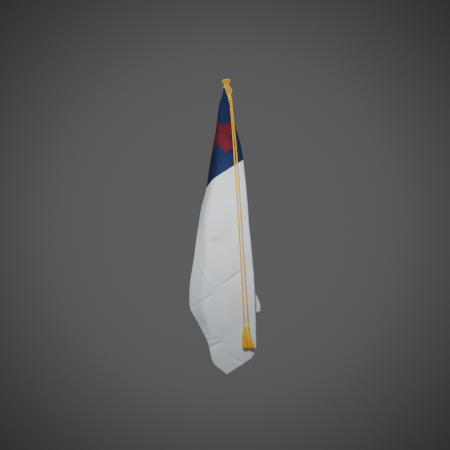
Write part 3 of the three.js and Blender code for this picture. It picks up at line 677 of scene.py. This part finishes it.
def creases_at(a, b):
    """How far the creases push the cloth back: each is its depth times exp of minus the square of the
    distance from its line over its width, faded out past its two ends. Between the pressed lines, which
    lie an even step apart along the fly, the cloth swells forward as a parabola."""
    part = np.mod((a - PRESSED_LINE) / PRESSED_STEP, 1)
    push = -PILLOW * 4 * part * (1 - part) * ease(a, *PILLOW_STARTS)
    for start, end, depth, width in CREASES:
        start, end = np.array(start), np.array(end)
        run = np.linalg.norm(end - start)
        way = (end - start) / run
        along = (a - start[0]) * way[0] + (b - start[1]) * way[1]
        off = (a - start[0]) * way[1] - (b - start[1]) * way[0]
        fade = ease(along, -2 * width, 2 * width) * (1 - ease(along, run - 2 * width, run + 2 * width))
        push = push + depth * fade * np.exp(-(off / width) ** 2)
    return push


def hang(a, b):
    """Where a place of the cut cloth hangs: its distance from the corner picks a section, its turn from
    the hoist edge times that distance is its length along the section, and the section's x bends round
    the corner. The whole bundle bows forward as a parabola between its two sides, and creases, a soft
    ridge and the sagging tip are added."""
    distance = np.hypot(a, b)
    turn = np.arctan2(a, b)
    start, pieces, depth, (left, right) = sections(distance)
    x, y = start[0] + 0, start[1] + 0
    rest = distance * turn
    for heading, curl, length, _ in pieces:
        last = pieces[-1][2] is length
        t = np.maximum(rest, 0) if last else np.clip(rest, 0, length)
        rest = rest - length
        bent = np.abs(curl) > 0
        safe = np.where(bent, curl, 1)
        x = x + np.where(bent, (np.sin(heading + curl * t) - np.sin(heading)) / safe, t * np.cos(heading))
        y = y + np.where(bent, (np.cos(heading) - np.cos(heading + curl * t)) / safe, t * np.sin(heading))
    half = (right - left) / 2
    off = (x - (left + right) / 2) / half
    bow = half * blend(BOW, ease(distance, *BOW_FLATTENS)) * ease(distance, *BOW_STARTS)
    y = y - depth / 2 - bow * (1 - off * off) + BOW_BACK * bow
    back = np.clip((turn - LIFT_FROM) / (math.pi / 2 - LIFT_FROM), 0, 1) ** 2
    reach = distance * (1 - TOP_EDGE_LIFT * back * ease(distance, *TOP_EDGE_LIFTS))
    angle = x / distance
    from_tip = (FLY - a - TIP_MIDDLE) / TIP_WIDTH
    sag = TIP_BULGE * np.exp(-from_tip ** 2) * (1 - ease(HOIST - b, 0, TIP_REACH))
    across = (CORNER[0] + reach * np.sin(angle) - sag * math.sin(HOIST_ANGLE)
              + NECK_SHIFT * (1 - ease(distance, *SHIFT_ENDS)))
    up = (CORNER[1] - reach * np.cos(angle) - sag * math.cos(HOIST_ANGLE)
          + NECK_RISE * (1 - ease(distance, NECK_START, RISE_ENDS)))
    t = np.clip((up - RIDGE_TOP[1]) / (RIDGE_END[1] - RIDGE_TOP[1]), RIDGE_RISES[0], RIDGE_FALLS[1])
    away = (across - blend((RIDGE_TOP[0], RIDGE_END[0]), t)) / RIDGE_WIDTH
    ridge = RIDGE_HEIGHT * np.exp(-away * away) * ease(t, *RIDGE_RISES) * (1 - ease(t, *RIDGE_FALLS))
    return np.stack([across, y - ridge + creases_at(a, b), up], axis=-1)


# The cloth as it is cut, before it hangs: a flat grid whose columns follow the folds, cut along
# straight lines into the white field, the blue canton and the red cross.
RUN_PARTS = {
    "hoist_pass": 12, "second_pass": 6, "first_pass": 8, "strip": 10, "front": 40,
    "middle": 14, "back_pass": 8, "top_pass": 14, "bend": 8, "fold": 0,
}
ROW_GROWTH = 1.045
ROW_STEP = 0.0046
LAST_ROW = 1.438
NEAR_CUT = 0.02
CUT_DIST = 0.00001


def flat_grid():
    """The flat cloth as rows at growing distances from the corner, each divided along its section's
    passes and bends, and its quads."""
    rows = [NECK_START]
    while rows[-1] < LAST_ROW:
        rows.append(rows[-1] + min(rows[-1] * (ROW_GROWTH - 1), ROW_STEP))
    distance = np.array(rows)
    _, pieces, _, _ = sections(distance)
    marks = [0 * distance]
    start = 0 * distance
    for _, _, length, name in pieces:
        parts = RUN_PARTS[name]
        marks += [start + length * k / parts for k in range(1, parts + 1)]
        start = start + length
    turn = np.clip(np.stack(marks, axis=1) / distance[:, None], 0, math.pi / 2)
    a = distance[:, None] * np.sin(turn)
    b = distance[:, None] * np.cos(turn)
    columns = a.shape[1]
    i = np.arange(len(rows) - 1)[:, None] * columns
    j = np.arange(columns - 1)[None, :]
    quads = np.stack([i + j, i + j + 1, i + j + 1 + columns, i + j + columns], axis=2).reshape(-1, 4)
    return a.ravel(), b.ravel(), quads


def cut_cloth(name, a_lines, b_lines, keep):
    """The hanging sheet of the part of the flat cloth that keep picks, after cuts at constant a and b."""
    a, b, quads = flat_grid()
    middle_a = a[quads].mean(axis=1)
    middle_b = b[quads].mean(axis=1)
    near = keep(middle_a, middle_b, NEAR_CUT)
    mesh = bpy.data.meshes.new(name)
    mesh.from_pydata(np.stack([a, b, 0 * a], axis=1).tolist(), [], quads[near].tolist())
    cloth = bmesh.new()
    cloth.from_mesh(mesh)
    loose = [v for v in cloth.verts if not v.link_faces]
    bmesh.ops.delete(cloth, geom=loose, context="VERTS")
    for axis, lines in (((1, 0, 0), a_lines), ((0, 1, 0), b_lines)):
        for line in lines:
            geometry = cloth.verts[:] + cloth.edges[:] + cloth.faces[:]
            point = tuple(line * k for k in axis)
            bmesh.ops.bisect_plane(cloth, geom=geometry, dist=CUT_DIST, plane_co=point, plane_no=axis)
    outside = []
    for face in cloth.faces:
        centre = face.calc_center_median()
        if not keep(centre.x, centre.y, 0):
            outside.append(face)
    bmesh.ops.delete(cloth, geom=outside, context="FACES")
    bmesh.ops.remove_doubles(cloth, verts=cloth.verts[:], dist=2 * CUT_DIST)
    cloth.to_mesh(mesh)
    cloth.free()
    flat = np.empty(len(mesh.vertices) * 3, np.float32)
    mesh.vertices.foreach_get("co", flat)
    flat = flat.reshape(-1, 3).astype(float)
    corner = np.empty(len(mesh.loops), np.int32)
    mesh.loops.foreach_get("vertex_index", corner)
    layer = mesh.uv_layers.new(name="cut")
    layer.data.foreach_set("uv", flat[corner, :2].astype(np.float32).ravel())
    mesh.vertices.foreach_set("co", hang(flat[:, 0], flat[:, 1]).astype(np.float32).ravel())
    mesh.polygons.foreach_set("use_smooth", np.ones(len(mesh.polygons), bool))
    mesh.update()
    piece = bpy.data.objects.new(name, mesh)
    bpy.context.collection.objects.link(piece)
    return piece, flat[:, 0], flat[:, 1]


def thicken(piece, plain, doubled, mask):
    """Gives the sheet its plain thickness, and the doubled one where the mask is true."""
    group = piece.vertex_groups.new(name="doubled")
    for index in np.nonzero(mask)[0].tolist():
        group.add([index], 1.0, "REPLACE")
    solid = piece.modifiers.new("thickness", "SOLIDIFY")
    solid.thickness = doubled
    solid.offset = 0
    solid.vertex_group = "doubled"
    solid.thickness_vertex_group = plain / doubled


# The look of the cloth. A stitch is its pitch and its width, a pucker or a sharp crease its width.
WEAVE = 0.0008
STRAIGHT_STITCH = (0.0028, 0.00035)
SATIN_STITCH = (0.0009, 0.0008)
PUCKER = 0.0014
SHARP = 0.0016
CLOTH_BUMP = (0.35, 0.0012)
DRAPE_TURN = -math.radians(32.65)
DRAPE_SCALE = (9.0, 48.0, 1.0)


def cloth_material(name, light, deep, surface, stitching, stitch, stains=(), creases=(), pressed=()):
    """Plain weave polyester. Threads run along the cut's two directions, and noise at three scales
    rumples them. Rows of stitches are dashes of thread in a pucker, and creases are sharp thin lines.
    The puckers and the creases are painted darker, as shade."""
    material, shader, tree = new_material(name)
    uv = tree.node("ShaderNodeUVMap", uv_map="cut")
    a = tree.node("ShaderNodeSeparateXYZ", {0: uv})
    b = a.other(1)
    weave = (a * (2 * math.pi / WEAVE)).sin() * (b * (2 * math.pi / WEAVE)).sin()
    patches = tree.node("ShaderNodeTexNoise", {"Vector": uv, "Scale": 9.0, "Detail": 4.0})
    rumple = tree.node("ShaderNodeTexNoise", {"Vector": uv, "Scale": 45.0, "Detail": 3.0, "Roughness": 0.6})
    turned = {"Vector": uv, "Rotation": (0, 0, DRAPE_TURN), "Scale": DRAPE_SCALE}
    drape = tree.node("ShaderNodeMapping", turned)
    crinkle = tree.node("ShaderNodeTexNoise", {"Vector": drape, "Scale": 1.0, "Detail": 3.0})
    height = weave * 0.12 + rumple * 1.0 + patches * 2.0 + crinkle * 4.5
    shade = patches * 0.7 + weave * 0.05 + rumple * 0.3
    for side, place, start, end in stitching:
        across, along = (a, b) if side == "a" else (b, a)
        inside = along.between(start, end)
        dashes = (along * (2 * math.pi / stitch[0])).sin() * 0.5 + 0.5
        height = height - across.bell(place, PUCKER) * inside * 0.25
        height = height + across.bell(place, stitch[1]) * inside * dashes * 0.35
        # Painted shade: darker in the pucker along each row of stitches.
        shade = shade - across.bell(place, PUCKER) * inside * 0.12
    for place in pressed:
        height = height - a.bell(place, SHARP) * 0.3
    for start, end, depth, _ in creases:
        run = math.dist(start, end)
        way = ((end[0] - start[0]) / run, (end[1] - start[1]) / run)
        from_a, from_b = a - start[0], b - start[1]
        line = (from_a * way[1] - from_b * way[0]).bell(0.0, SHARP)
        line = line * (from_a * way[0] + from_b * way[1]).between(0.0, run)
        height = height - line * math.copysign(0.7, depth)
        # Painted shade: darker along each crease.
        shade = shade - line * 0.1
    colour = tree.node("ShaderNodeValToRGB", {0: shade}, stops=[(0.25, deep), (0.75, light)])
    for middle_a, middle_b, wide_a, wide_b, strength, tint in stains:
        blotch = rumple * 1.1 + patches * 0.6
        mark = a.bell(middle_a, wide_a) * b.bell(middle_b, wide_b) * blotch * strength
        colour = mark.math("MINIMUM", mark, 1.0).mix(colour, tint)
    feed(shader, "Base Color", colour)
    strength, reach = CLOTH_BUMP
    bump = tree.node("ShaderNodeBump", {"Strength": strength, "Distance": reach, "Height": height})
    feed(shader, "Normal", bump)
    gloss(shader, *surface)
    return material


# The white field: one L-shaped cut of polyester round the canton, with a double hem 12 mm wide on
# its free edges, a felled seam along the canton, and faint old stains by a crease.
HEM = 0.012
HEM_STEP = 0.0006
HEM_EDGE = 0.0001
STITCH_INSET = 0.0015
STITCH_ROW = HEM - STITCH_INSET
SEAM = 0.008
CLOTH = 0.0005
DOUBLED = 0.0011
SEAM_GAP = 0.0002
WHITE_LIGHT = (0.80, 0.845, 0.89, 1)
WHITE_DEEP = (0.735, 0.78, 0.825, 1)
WHITE_GLOSS = (0.8, 0.15, (1, 1, 1, 1))

# Stains, as (a, b, width along a, width along b, strength, tint).
STAINS = [
    (0.631, 0.462, 0.010, 0.020, 0.80, (0.74, 0.36, 0.14, 1)),
    (0.650, 0.440, 0.016, 0.032, 0.50, (0.75, 0.46, 0.34, 1)),
    (0.634, 0.405, 0.013, 0.042, 0.62, (0.76, 0.62, 0.34, 1)),
]


def in_field(a, b, slack):
    """Inside the flag's outline and outside the canton."""
    inside = (a < FLY + slack) & (b < HOIST + slack)
    return inside & ((a > CANTON_A + SEAM_GAP - slack) | (b > CANTON_B + SEAM_GAP - slack))


field, a, b = cut_cloth(
    "white_field",
    [FLY, FLY - HEM, FLY - HEM - HEM_STEP, HEM, HEM + HEM_STEP, CANTON_A + SEAM_GAP,
     CANTON_A + SEAM, CANTON_A + SEAM + HEM_STEP],
    [HOIST, HOIST - HEM, HOIST - HEM - HEM_STEP, HEM, HEM + HEM_STEP, CANTON_B + SEAM_GAP,
     CANTON_B + SEAM, CANTON_B + SEAM + HEM_STEP],
    in_field,
)
hem = HEM + HEM_EDGE
seam = SEAM + HEM_EDGE
hemmed = (a > FLY - hem) | (b > HOIST - hem) | (a < hem) | (b < hem)
seamed = (a < CANTON_A + seam) & (b < CANTON_B + seam)
thicken(field, CLOTH, DOUBLED, hemmed | seamed)
white_stitching = [
    ("b", STITCH_ROW, CANTON_A, FLY),
    ("a", FLY - STITCH_ROW, 0.0, HOIST),
    ("b", HOIST - STITCH_ROW, 0.0, FLY),
    ("a", STITCH_ROW, CANTON_B, HOIST),
    ("a", CANTON_A + SEAM - STITCH_INSET, 0.0, CANTON_B + SEAM),
    ("b", CANTON_B + SEAM - STITCH_INSET, 0.0, CANTON_A + SEAM),
]
pressed_lines = [PRESSED_LINE + k * PRESSED_STEP for k in range(3)]
field.data.materials.append(cloth_material(
    "white_polyester", WHITE_LIGHT, WHITE_DEEP, WHITE_GLOSS, white_stitching, STRAIGHT_STITCH,
    STAINS, CREASES, pressed_lines,
))
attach(field, "root")
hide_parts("field")

# The blue canton: one cut of the same cloth at the top of the hoist, hemmed at its two outer
# edges, with the cross's shape cut away behind the applied cross.
BLUE_LIGHT = (0.0170, 0.0265, 0.068, 1)
BLUE_DEEP = (0.0100, 0.0160, 0.041, 1)
BLUE_GLOSS = (0.56, 0.5, (0.13, 0.22, 0.90, 1))
BAR = 0.062
UPRIGHT = (0.069, 0.326)
CROSSBAR = (0.1225, 0.3025)
UPRIGHT_MIDDLE = 0.2125
CROSSBAR_MIDDLE = 0.160
HEM_STARTS = 0.12


def in_cross(a, b, slack):
    """Inside the upright or the crossbar."""
    half = BAR / 2 + slack
    upright = (abs(a - UPRIGHT_MIDDLE) < half) & (b > UPRIGHT[0] - slack) & (b < UPRIGHT[1] + slack)
    crossbar = (abs(b - CROSSBAR_MIDDLE) < half) & (a > CROSSBAR[0] - slack) & (a < CROSSBAR[1] + slack)
    return upright | crossbar


def in_canton(a, b, slack):
    """Inside the canton and outside the cross."""
    inside = (a < CANTON_A - SEAM_GAP + slack) & (b < CANTON_B - SEAM_GAP + slack)
    outside = ~np.asarray(in_cross(a, b, SEAM_GAP)) if not slack else True
    return inside & outside


def cross_lines(grow):
    """The straight lines of the cross's outline, drawn out by grow."""
    half = BAR / 2 + grow
    a_lines = [UPRIGHT_MIDDLE - half, UPRIGHT_MIDDLE + half, CROSSBAR[0] - grow, CROSSBAR[1] + grow]
    b_lines = [CROSSBAR_MIDDLE - half, CROSSBAR_MIDDLE + half, UPRIGHT[0] - grow, UPRIGHT[1] + grow]
    return a_lines, b_lines


cross_a, cross_b = cross_lines(SEAM_GAP)
canton, a, b = cut_cloth(
    "blue_canton",
    [CANTON_A - SEAM_GAP, HEM, HEM + HEM_STEP] + cross_a,
    [CANTON_B - SEAM_GAP, HEM, HEM + HEM_STEP] + cross_b,
    in_canton,
)
thicken(canton, CLOTH, DOUBLED, ((a < hem) | (b < hem)) & (np.hypot(a, b) > HEM_STARTS))
blue_stitching = [("b", STITCH_ROW, 0.0, CANTON_A), ("a", STITCH_ROW, 0.0, CANTON_B)]
canton.data.materials.append(cloth_material(
    "blue_polyester", BLUE_LIGHT, BLUE_DEEP, BLUE_GLOSS, blue_stitching, STRAIGHT_STITCH,
))
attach(canton, "root")
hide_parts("canton")

# The red cross: applied cloth, let into the canton and held by a close zigzag stitch.
RED_LIGHT = (0.125, 0.0215, 0.0310, 1)
RED_DEEP = (0.083, 0.0135, 0.0200, 1)
RED_GLOSS = (0.56, 0.6, (1.0, 0.06, 0.08, 1))
CROSS_CLOTH = 1.2 * CLOTH
BORDER = 0.0010

cross_a, cross_b = cross_lines(0.0)
cross, a, b = cut_cloth("red_cross", cross_a, cross_b, in_cross)
thicken(cross, CLOTH, CROSS_CLOTH, np.ones(len(a), bool))
left, right = UPRIGHT_MIDDLE - BAR / 2, UPRIGHT_MIDDLE + BAR / 2
upper, lower = CROSSBAR_MIDDLE - BAR / 2, CROSSBAR_MIDDLE + BAR / 2
red_stitching = []
for side, level in ((left + BORDER, upper + BORDER), (right - BORDER, lower - BORDER)):
    for start, end in ((UPRIGHT[0], upper), (lower, UPRIGHT[1])):
        red_stitching.append(("a", side, start, end))
    for start, end in ((CROSSBAR[0], left), (right, CROSSBAR[1])):
        red_stitching.append(("b", level, start, end))
for place in (UPRIGHT[0] + BORDER, UPRIGHT[1] - BORDER):
    red_stitching.append(("b", place, left, right))
for place in (CROSSBAR[0] + BORDER, CROSSBAR[1] - BORDER):
    red_stitching.append(("a", place, upper, lower))
cross.data.materials.append(cloth_material(
    "red_polyester", RED_LIGHT, RED_DEEP, RED_GLOSS, red_stitching, SATIN_STITCH,
))
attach(cross, "root")
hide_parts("cross")

# The studio: a pale floor far below, a grey surround and soft light from the front. Straight behind
# the flag the surround is a lit backdrop, which darkens away from its middle. Each row of BACKDROP is
# an angle in degrees off the straight line towards the back, and the share of the grey there.
SURROUND = (0.107, 0.107, 0.110)
BACKDROP = [
    (27, 1.0), (23, 0.39), (21.4, 0.35), (19, 0.48), (17.6, 0.58), (16.1, 0.66), (14.7, 0.755),
    (13.2, 0.865), (11.7, 0.94), (8.6, 1.01), (4, 1.045), (0, 1.045),
]
FLOOR_HEIGHT = -2.2
FLOOR_RADIUS = 1.1

world = bpy.data.worlds.new("surround")
world.use_nodes = True
surround = Link(world.node_tree)
direction = surround.node("ShaderNodeTexCoord")
towards_back = surround.node("ShaderNodeSeparateXYZ", {0: direction}, output=1)
rings = []
for angle, share in BACKDROP:
    grey = [share * value for value in SURROUND]
    rings.append((math.cos(math.radians(angle)), (*grey, 1)))
backdrop = surround.node("ShaderNodeValToRGB", {0: towards_back}, stops=rings)
feed(world.node_tree.nodes["Background"], "Color", backdrop)
bpy.context.scene.world = world

floor_angle = np.linspace(0, 2 * np.pi, 64, endpoint=False)
floor_x = FLOOR_RADIUS * np.cos(floor_angle)
floor_y = FLOOR_RADIUS * np.sin(floor_angle)
floor_points = np.stack([floor_x, floor_y, 0 * floor_angle + FLOOR_HEIGHT], 1)
floor = piece_from("floor", floor_points, [list(range(64))], smooth=False)
floor_material, floor_shader, _ = new_material("pale_floor")
floor_shader.inputs["Base Color"].default_value = (0.6, 0.6, 0.6, 1)
floor_shader.inputs["Roughness"].default_value = 0.9
floor.data.materials.append(floor_material)


def soft_light(name, place, target, size, power, tint):
    """A square area light that faces its target."""
    data = bpy.data.lights.new(name, "AREA")
    data.shape = "SQUARE"
    data.size = size
    data.energy = power
    data.color = tint
    light = bpy.data.objects.new(name, data)
    light.location = place
    aim = np.array(target) - np.array(place)
    light.rotation_euler = (
        math.acos(-aim[2] / np.linalg.norm(aim)),
        0,
        math.atan2(aim[1], aim[0]) - math.pi / 2,
    )
    bpy.context.collection.objects.link(light)


soft_light("key", (-0.10, -0.96, -0.50), (-0.02, -0.045, -0.50), 0.32, 11.8, (0.99, 1.0, 1.0))
soft_light("fill", (-1.8, -3.2, 0.2), (0, 0, -0.7), 1.6, 5, (0.95, 0.97, 1.0))
soft_light("back_fill", (0.6, 3.2, 0.2), (0, 0, -0.7), 2.0, 40, (1, 1, 1))
